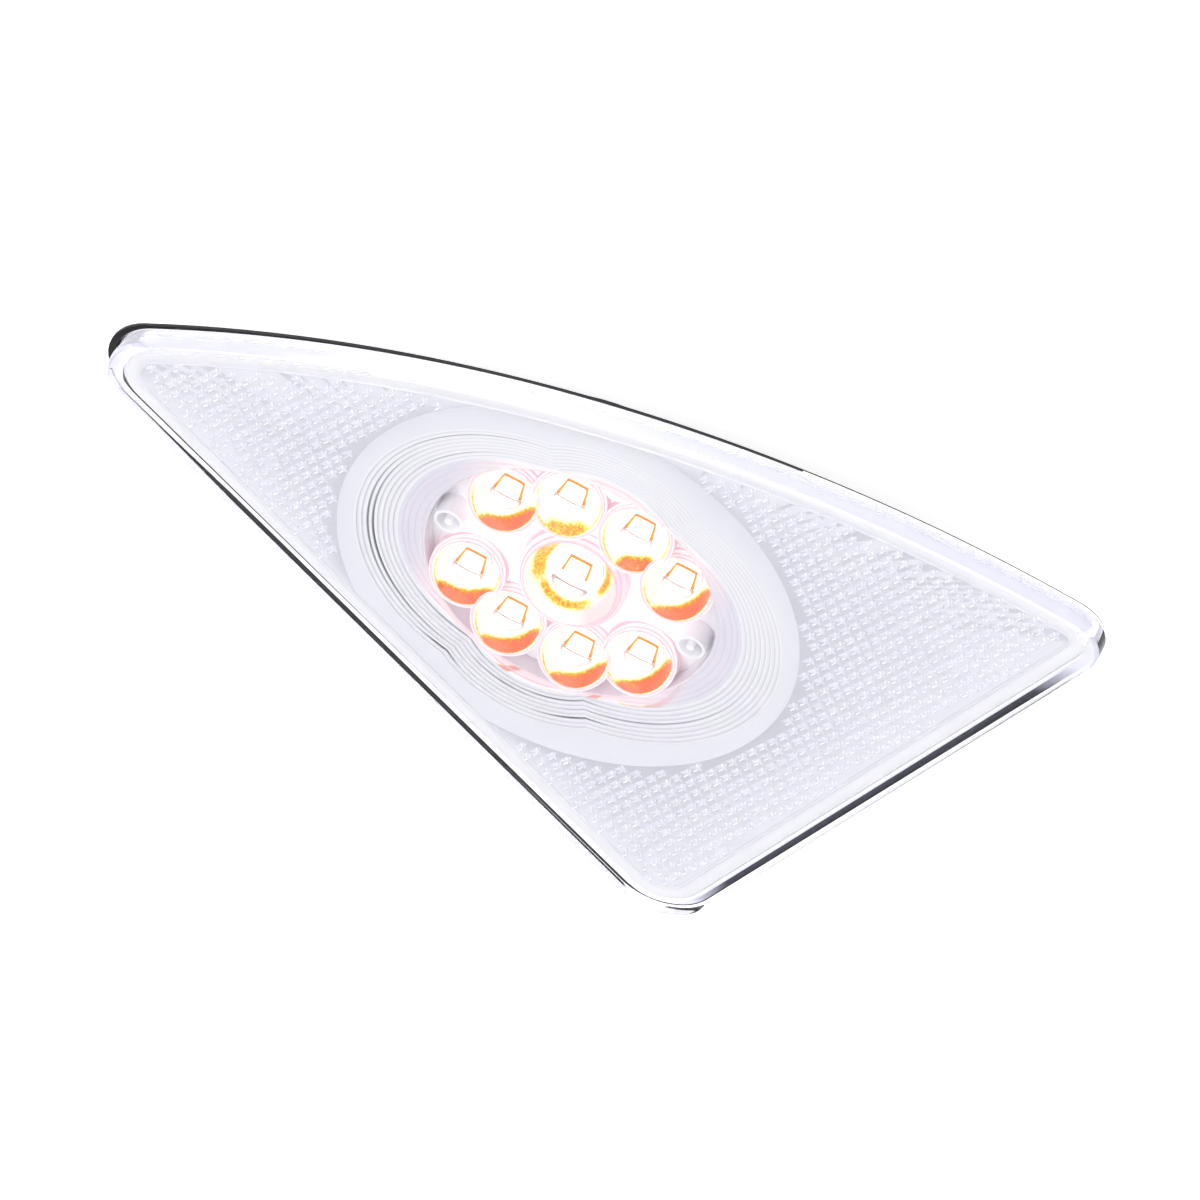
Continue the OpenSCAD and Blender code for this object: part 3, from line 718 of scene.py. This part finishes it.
def lattice():
    """Directions of the two rows of prisms, and the places inside the border and outside the ring."""
    row = np.array([math.cos(PRISM_TURN), math.sin(PRISM_TURN)])
    step = np.array([math.cos(PRISM_TURN + PRISM_SKEW), math.sin(PRISM_TURN + PRISM_SKEW)])
    edge = outline(FIELD_INSET + BORDER_ROOM)
    along = np.roll(edge, -1, axis=0) - edge
    reach = 60
    places = []
    for i in range(-reach, reach + 1):
        for j in range(-reach, reach + 1):
            p = PRISM_PITCH * (i * row + j * step)
            if np.linalg.norm(p) < RING_R + RING_ROOM:
                continue
            if (along[:, 0] * (p[1] - edge[:, 1]) - along[:, 1] * (p[0] - edge[:, 0])).min() > 0:
                places.append(p)
    return row, step, places


def make_prisms():
    """Three-sided prisms of the reflex field, each with short ridges that carry painted highlights and shade.
    """
    row, step, places = lattice()
    base = [(-row - step) / 3, (2 * row - step) / 3, (2 * step - row) / 3]
    verts, faces, ridge = [], [], []
    for p in places:
        k = len(verts)
        for b in base:
            verts.append((*(p + b * PRISM_PITCH * PRISM_FILL), PLATE_TOP))
        verts.append((*p, PLATE_TOP + PRISM_RISE))
        ridge += [0.0] * 4
        faces += [(k, k + 1, k + 3), (k + 1, k + 2, k + 3), (k + 2, k, k + 3), (k, k + 2, k + 1)]
        for middle, reach, half in RIDGES:
            c, d = p + np.array(middle), np.array(reach)
            side = np.array((-d[1], d[0])) / np.hypot(*d) * half
            if side[1] < 0:
                side = -side
            for way, tone in RIDGE_HIGHLIGHT_TONES:
                k = len(verts)
                verts += [(*(c + d * 0.9 + way * side), PLATE_TOP + RIDGE_FOOT),
                          (*(c - d * 0.9 + way * side), PLATE_TOP + RIDGE_FOOT),
                          (*(c - d), PLATE_TOP + RIDGE_CREST), (*(c + d), PLATE_TOP + RIDGE_CREST)]
                ridge += [tone] * 4
                faces.append((k, k + 1, k + 2, k + 3))
    field = new_mesh("prism_field", verts, faces, PRISM, smooth=False)
    paint(field, "ridge_highlight_share", ridge)
    return field


# Bowls

def ball(i):
    """Height of the centre, and radius, of the ball that hollows out bowl i."""
    foot, mouth = DOME_R[i] + DOME_FIT, BOWL_R[i]
    z = (mouth ** 2 + RIM_HIGH ** 2 - foot ** 2 - BOARD_Z ** 2) / (2 * (RIM_HIGH - BOARD_Z))
    return z, math.hypot(foot, z - BOARD_Z)


def slope(i):
    """Slant of the rim of bowl i, from its high side to its low side."""
    return (RIM_HIGH - RIM_LOW) / (2 * (BOWL_R[i] + BOWL_WALL))


def shared_wall(i, angles):
    """Distance from the middle of cell i to the nearest wall that it shares, at each angle."""
    far_off, least = 99.0, 0.05
    reach = np.full(angles.shape, far_off)
    cx, cy = CELLS[i]
    for j, (ox, oy) in enumerate(CELLS):
        if j == i:
            continue
        gap = math.hypot(ox - cx, oy - cy)
        mine, other = BOWL_R[i] + BOWL_WALL, BOWL_R[j] + BOWL_WALL
        if gap > mine + other:
            continue
        facing = np.cos(angles - math.atan2(oy - cy, ox - cx))
        flat = (gap ** 2 + mine ** 2 - other ** 2) / (2 * gap)
        reach = np.where(facing > least, np.minimum(reach, flat / np.maximum(facing, least)), reach)
    return reach


def make_bowl(i):
    """One slanted bowl: ball-shaped inside, a grooved rim and an outer wall."""
    cx, cy = CELLS[i]
    n, hollow_n, lip_n = 224, 24, 8
    angles = round_angles(n)
    centre, radius = ball(i)
    foot, mouth = DOME_R[i] + DOME_FIT, BOWL_R[i]

    def hollow(r):
        return centre - np.sqrt(np.maximum(radius ** 2 - r ** 2, 0))

    def plane(r):
        return RIM_MID - slope(i) * r * np.sin(angles)

    # where the ball meets the slanted plane, found by halving
    low, high = np.full(n, foot), np.full(n, mouth)
    for _ in range(30):
        mid = (low + high) / 2
        under = hollow(mid) < plane(mid)
        low, high = np.where(under, mid, low), np.where(under, high, mid)
    outer = np.minimum(mouth + BOWL_WALL, shared_wall(i, angles))
    # a shared wall cuts the bowl short and keeps a rim of 0.3
    cut = low > outer - 0.3
    edge = np.minimum(low, outer - 0.3)
    top = hollow(edge)

    def rim(r):
        return np.where(cut, top, plane(r))

    rings = [(np.full(n, foot), BOARD_Z + 0.02)]
    for k in range(1, hollow_n + 1):
        r = foot + (edge - 0.06 - foot) * (k / hollow_n)
        rings.append((r, hollow(r)))
    low_z, high_z = hollow(edge - 0.06), rim(edge)
    for k in range(1, lip_n + 1):
        rings.append((edge - 0.06 + 0.08 * k / lip_n, low_z + (high_z - low_z) * k / lip_n))
    inside = len(rings)
    width = outer - edge
    rings.append((edge + 0.04, rim(edge)))
    rings += [(edge + width * share, rim(edge + width * share) + up) for share, up in GROOVE]
    rings += [(outer - 0.01, rim(outer) - 0.12), (outer - 0.01, PAN_Z - 0.2)]
    verts = np.concatenate([ring_points(angles, r, z, cx, cy) for r, z in rings])
    obj = new_mesh(f"bowl_{i + 1}", verts, grid_faces(len(rings), n), BOWL, sharp_deg=50)
    # painted light: pink on the first rings and the rim's rings, and a glow of its own on the first rings
    pink = np.zeros(len(rings))
    pink[:4] = 0.2
    pink[inside:] = RIM_PINK
    lit = np.zeros(len(rings))
    lit[:len(FOOT_LIT)] = FOOT_LIT
    painted_glow, flush = bowl_painted_light(i, verts)
    painted_glow[inside * n:] = 0
    paint(obj, "crescent", painted_glow)
    paint(obj, "rim_share", np.maximum(np.repeat(pink, n), flush))
    paint(obj, "lit_share", np.repeat(lit, n))
    return obj


def polar(points, middle, size):
    """Distance, as a share of a size, and angle in degrees round a middle, as the photo shows them."""
    p = (points - np.array(middle)) / size
    right, up = p @ VIEW_RIGHT, p @ VIEW_UP
    return np.hypot(right, up), np.degrees(np.arctan2(up, right))


def between(angle, middle, half, soft):
    """1 within half of a middle angle, and falling to 0 over a soft edge."""
    turn = np.abs((angle - middle + 180) % 360 - 180)
    return np.clip((half + soft - turn) / soft, 0, 1)


def bowl_painted_light(i, verts):
    """How strongly each point of a bowl shows painted orange light, and how much painted pink light it shows.
    """
    cx, cy = CELLS[i]
    if i == MIDDLE:
        far, angle = polar(verts, (cx, cy, BOARD_Z + DOME_BASE - 0.7), DOME_R[i])
        painted_glow = np.zeros(len(verts))
        for middle, half, start, end, glow_strength in PATCHES:
            band = np.clip((far - start) / 0.12, 0, 1) * np.clip((end - far) / 0.2, 0, 1)
            painted_glow = np.maximum(painted_glow, glow_strength * band * between(angle, middle, half, 22))
        flush = 0.55 * np.clip((far - 1.35) / 0.2, 0, 1) * between(angle, -35, 42, 20)
        return painted_glow, flush
    middle, half, glow_strength = CRESCENTS[i]
    far, angle = polar(verts, (cx, cy, RIM_MID), 0.98 * BOWL_R[i])
    depth = far * (0.45 + 0.55 * np.cos(np.radians(angle - middle)))
    band = np.clip((depth - 0.46) / 0.2, 0, 1) * between(angle, middle, half, 18)
    band *= np.clip((0.97 - far) / 0.04, 0, 1)
    # thin warm line of painted light along the mouth
    line = 0.34 * np.exp(-((far - 0.93) / 0.03) ** 2) * between(angle, middle, 100, 30)
    return np.maximum(glow_strength * band, line), np.zeros(len(verts))


# Pan, seat, bosses and covers of the bowl array

def make_pan():
    """Floor round the bowls, and the round wall up to the seat."""
    cell = 0.5
    xs = np.arange(-PAN_R, PAN_R + cell, cell)
    gx, gy = np.meshgrid(xs, xs)
    used = np.hypot(gx, gy) < PAN_R + 0.4
    for i, (cx, cy) in enumerate(CELLS):
        used &= np.hypot(gx - cx, gy - cy) > BOWL_R[i] + BOWL_WALL - 1.2
    cols = len(xs)
    faces = []
    for r in range(cols - 1):
        for c in range(cols - 1):
            if used[r:r + 2, c:c + 2].all():
                k = r * cols + c
                faces.append((k, k + 1, k + cols + 1, k + cols))
    corners = sorted({k for face in faces for k in face})
    index = {old: new for new, old in enumerate(corners)}
    faces = [tuple(index[k] for k in face) for face in faces]
    flat = np.column_stack([gx.ravel(), gy.ravel(), np.full(gx.size, PAN_Z)])[corners]
    n = 360
    angles = round_angles(n)
    rings = [(PAN_R - 0.5, PAN_Z + 0.01), (PAN_R - 0.15, PAN_Z + 0.12)]
    rings += [(PAN_R, PAN_Z + h) for h in (0.5, 1.2, 2.0, 2.8, 3.6)]
    rings += [(PAN_R, ARRAY_TOP - 0.15), (PAN_R + 0.12, ARRAY_TOP - 0.01)]
    wall = [ring_points(angles, r, z) for r, z in rings]
    faces += [tuple(k + len(flat) for k in face) for face in grid_faces(len(rings), n)]
    return new_mesh("bowl_pan", np.concatenate([flat, *wall]), faces, PAN, sharp_deg=40)


def make_seat():
    """Rim of the array that the plate's steps end on, with ridges that follow the lobes."""
    n = 720
    angles = round_angles(n)
    end = np.maximum(window_radius(-(STEP_COUNT - 2) * STEP_W, angles), PAN_R + 1.2)
    # rows of radius, lift and pink, where pink is painted light
    rows = [(np.full(n, PAN_R + 0.1), 0.0, 1.0), (np.full(n, PAN_R + 0.25), 0.08, 0.2)]
    for k, grow in enumerate(SEAT_RIDGES):
        r = np.maximum(window_radius(grow, angles), PAN_R + 0.3 + 0.2 * k)
        rows += [(r, 0.0, 0.9), (r + 0.05, 0.13, 0.3), (r + 0.12, 0.14, 0.0), (r + 0.18, 0.0, 0.3),
                 (r + 0.19, 0.0, 0.15)]
    radii = np.maximum.accumulate(np.stack([r for r, _, _ in rows]), axis=0)
    radii += 0.004 * np.arange(len(rows))[:, None]
    radii = np.vstack([radii, np.maximum(end, radii[-1] + 0.05)])
    lift = np.array([h for _, h, _ in rows] + [0.0])[:, None]
    pink = np.array([c for _, _, c in rows] + [0.2])[:, None]
    # finer rows between the ridges, so that the streaks show
    fine = 4
    place = np.linspace(0, len(lift) - 1, (len(lift) - 1) * fine + 1)
    k = np.minimum(place.astype(int), len(lift) - 2)
    share = (place - k)[:, None]
    radii, lift, pink = (rows[k] * (1 - share) + rows[k + 1] * share for rows in (radii, lift, pink))
    heights = np.broadcast_to(ARRAY_TOP - 0.01 + lift, radii.shape)
    verts = np.stack([radii * np.cos(angles), radii * np.sin(angles), heights], axis=2).reshape(-1, 3)
    seat = new_mesh("bowl_seat", verts, grid_faces(len(lift), n), BOWL, sharp_deg=50)
    # Painted light: orange streaks, and pink on the ridges that fades away from the middle, where the seat
    # turns greyer
    painted_glow = np.zeros(len(verts))
    for i, middle, near in SEAT_STREAKS:
        far, angle = polar(verts, (*CELLS[i], RIM_MID), BOWL_R[i] + BOWL_WALL)
        band = np.clip((far - near) / 0.03, 0, 1) * np.clip((near + 0.16 - far) / 0.03, 0, 1)
        painted_glow = np.maximum(painted_glow, 0.9 * band * between(angle, middle, 32, 16))
    cool = np.clip((np.abs(verts[:, 0]) - 20) / 10, 0, 1)
    paint(seat, "crescent", painted_glow)
    paint(seat, "rim_share", np.repeat(pink, n) * (1 - 0.8 * cool))
    paint(seat, "cool_share", 0.3 + 0.7 * cool)
    return seat


def make_boss(s):
    """Round boss with a pin and a fan of small wedges, beside the bowls."""
    cx, r, t = s * SIDE_BOSS_X, SIDE_BOSS_R, SIDE_BOSS_T
    top = ARRAY_TOP + SIDE_BOSS_UP
    ring = turned(f"side_boss_{side_letter(s)}", cx, 0,
                  [(r, PAN_Z - 0.1), (r, top - 0.2), (r - 0.15, top), (r - t + 0.15, top),
                   (r - t, top - 0.2), (r - t, PAN_Z + 0.1)], PAN)
    pin = turned(f"side_pin_{side_letter(s)}", cx, 0,
                 [(AXIS_R, top), (t - 0.15, top), (t, top - 0.2), (t, PAN_Z)], PAN, 40)

    def spot(reach, angle):
        return cx + reach * math.cos(angle), reach * math.sin(angle)

    verts, faces = [], []
    foot = PAN_Z + 0.05
    for k in range(FAN_COUNT):
        a = math.radians(180 if s > 0 else 0) + math.radians(FAN_STEP * (k - FAN_COUNT // 2))
        j = len(verts)
        verts += [(*spot(FAN_START, a), foot), (*spot(FAN_END, a - FAN_HALF), foot),
                  (*spot(FAN_END, a + FAN_HALF), foot), (*spot(FAN_END, a), PAN_Z + FAN_H)]
        faces += [(j, j + 1, j + 3), (j + 1, j + 2, j + 3), (j + 2, j, j + 3)]
    fan = new_mesh(f"side_fan_{side_letter(s)}", verts, faces, PAN, smooth=False)
    return [ring, pin, fan]


def make_cover(s):
    """Round cover of a board screw."""
    top = BOARD_Z + COVER_H
    profile = [(AXIS_R, top), (COVER_R - 0.5, top), (COVER_R - 0.15, top - 0.15),
               (COVER_R, top - 0.5), (COVER_R, PAN_Z - 0.1)]
    return turned(f"screw_cover_{side_letter(s)}", 0, s * COVER_Y, profile, PAN)


# Domes and lights

def make_dome(i):
    """Clear dome over light i: a short straight wall under a round top."""
    cx, cy = CELLS[i]
    r = DOME_R[i]
    rise = r * DOME_RISE
    n, top_n = 64, 14
    profile = [(AXIS_R, BOARD_Z + 0.02), (r - 0.1, BOARD_Z + 0.02), (r, BOARD_Z + 0.12),
               (r, BOARD_Z + DOME_BASE)]
    centre_z = BOARD_Z + DOME_BASE + rise - r
    start = math.asin(min(1.0, (r - rise) / r))
    for k in range(1, top_n + 1):
        a = start + (math.pi / 2 - start) * k / top_n
        profile.append((max(r * math.cos(a), AXIS_R), centre_z + r * math.sin(a)))
    angles = round_angles(n)
    verts = np.concatenate([ring_points(angles, q, z, cx, cy) for q, z in profile])
    faces = grid_faces(len(profile), n) + end_faces(len(profile), n)
    dome = new_mesh(f"dome_{i + 1}_lens", verts, faces, DOME, sharp_deg=50)
    wall = np.array([q > 0.96 * r for q, _ in profile], dtype=float)
    paint(dome, "wall_share", np.repeat(wall, n))
    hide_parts(f"dome_{i + 1}")
    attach(dome, "root")


def box_mesh(name, low, high, mat, bevel):
    (x0, y0, z0), (x1, y1, z1) = low, high
    verts = [(x, y, z) for z in (z0, z1) for x, y in ((x0, y0), (x1, y0), (x1, y1), (x0, y1))]
    faces = [(3, 2, 1, 0), (4, 5, 6, 7), (0, 1, 5, 4), (1, 2, 6, 5), (2, 3, 7, 6), (3, 0, 4, 7)]
    obj = new_mesh(name, verts, faces, mat, smooth=False)
    b = obj.modifiers.new("edge", "BEVEL")
    b.width = bevel * MM
    b.segments = 2
    return obj


def make_glow(i):
    """Bright tile on the package, and the patch of board round it, which glows as painted light."""
    cx, cy = CELLS[i]
    h = CHIP_W / 2 - TILE_EDGE
    tile = box_mesh(f"led_{i + 1}_phosphor", (cx - h, cy - h, CHIP_TOP - 0.2),
                    (cx + h, cy + h, CHIP_TOP + TILE_RISE), CHIP_GLOW, 0.05)
    r = DOME_R[i] - 0.1
    patch = turned(f"led_{i + 1}_patch", cx, cy,
                   [(AXIS_R, BOARD_Z + 0.03), (r, BOARD_Z + 0.03), (r, BOARD_Z + 0.005)], LIT_BOARD, 48)
    for piece in (tile, patch):
        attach(piece, "root")


# Build the pieces

make_lens()
for piece in (make_plate(), make_prisms()):
    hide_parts("prism_plate")
    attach(piece, "root")
array_pieces = [make_bowl(i) for i in range(len(CELLS))] + [make_pan(), make_seat()]
array_pieces += [make_cover(s) for s in (-1, 1)] + make_boss(-1) + make_boss(1)
for piece in array_pieces:
    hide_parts("bowl_array")
    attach(piece, "root")
for i in range(len(CELLS)):
    make_dome(i)
    make_glow(i)

# Materials of the frame's own pieces
FINISH = {"housing": BLACK, "gasket": FOAM, "connector_header": BLACK, "vent_plug": VENT,
          "circuit_board": BOARD, "board_screws": STEEL, "resistors": CHIP, "driver_chip": CHIP,
          "protection_diode": CHIP, "capacitor": CAN, "contact_supply": BRASS, "contact_earth": BRASS,
          "stud_tip": STEEL, "stud_upper": STEEL, "stud_lower": STEEL}
FINISH.update({f"led_{i + 1}": PACKAGE for i in range(len(CELLS))})
for name, mat in FINISH.items():
    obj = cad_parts[name]
    if not obj.data.materials:
        obj.data.materials.append(mat)
    for slot in obj.material_slots:
        slot.link = "OBJECT"
        slot.material = mat


# Stage: floor, light and camera. Lengths here are in metres, unless a name ends in MM or PX.

FLOOR_HALF = 3.0
FLOOR_DROP = 0.0005
# The photo is 1200 pixels square, and shows a point of the lamp's front plane at this pixel and scale
PHOTO_PX = 1200
ANCHOR_PX = (572.5, 589.5)
PX_PER_MM = 5.13
ANCHOR_MM = (1.0, 2.5)
DISTANCE = 6.0


def make_floor():
    h = FLOOR_HALF
    mesh = bpy.data.meshes.new("floor")
    mesh.from_pydata([(-h, -h, 0), (h, -h, 0), (h, h, 0), (-h, h, 0)], [], [(0, 1, 2, 3)])
    floor = bpy.data.objects.new("floor", mesh)
    floor.location = (0, 0, -FLOOR_DROP)
    bpy.context.scene.collection.objects.link(floor)
    m = material("floor_white", (0.9, 0.9, 0.9), 0.7)
    glow(m, (1.0, 1.0, 1.0), 0.8)
    mesh.materials.append(m)


def make_light(name, place, size, watts):
    """Round soft light that looks at the lamp."""
    data = bpy.data.lights.new(name, "AREA")
    data.shape = "DISK"
    data.size = size
    data.energy = watts
    lamp = bpy.data.objects.new(name, data)
    bpy.context.scene.collection.objects.link(lamp)
    lamp.location = place
    lamp.rotation_euler = (-Vector(place)).to_track_quat("-Z", "Y").to_euler()


def make_world():
    world = bpy.data.worlds.new("studio")
    bpy.context.scene.world = world
    world.use_nodes = True
    back = world.node_tree.nodes["Background"]
    back.inputs["Color"].default_value = (1.0, 1.0, 1.0, 1)
    back.inputs["Strength"].default_value = 1.0


def make_camera():
    """Camera at the photo's viewing angle, with the anchor at the photo's own pixel."""
    right, up, back = Vector(VIEW_RIGHT), Vector(VIEW_UP), Vector(VIEW_BACK)
    anchor = Vector((*ANCHOR_MM, FRONT_Z)) * MM
    dx = (PHOTO_PX / 2 - ANCHOR_PX[0]) / PX_PER_MM * MM
    dy = (ANCHOR_PX[1] - PHOTO_PX / 2) / PX_PER_MM * MM
    target = anchor + right * dx + up * dy
    data = bpy.data.cameras.new("camera")
    data.sensor_width = 36.0
    data.lens = data.sensor_width * DISTANCE / (PHOTO_PX / PX_PER_MM * MM)
    data.clip_start = 0.1
    data.clip_end = 20.0
    cam = bpy.data.objects.new("camera", data)
    bpy.context.scene.collection.objects.link(cam)
    turn = Matrix((right, up, back)).transposed().to_4x4()
    cam.matrix_world = Matrix.Translation(target + back * DISTANCE) @ turn
    bpy.context.scene.camera = cam


make_floor()
make_world()
make_light("key", (-0.9, 0.9, 1.6), 1.2, 22)
make_light("fill", (1.2, -0.4, 1.3), 1.0, 6)
make_camera()
scene = bpy.context.scene
scene.view_settings.view_transform = "Standard"
scene.cycles.use_denoising = True
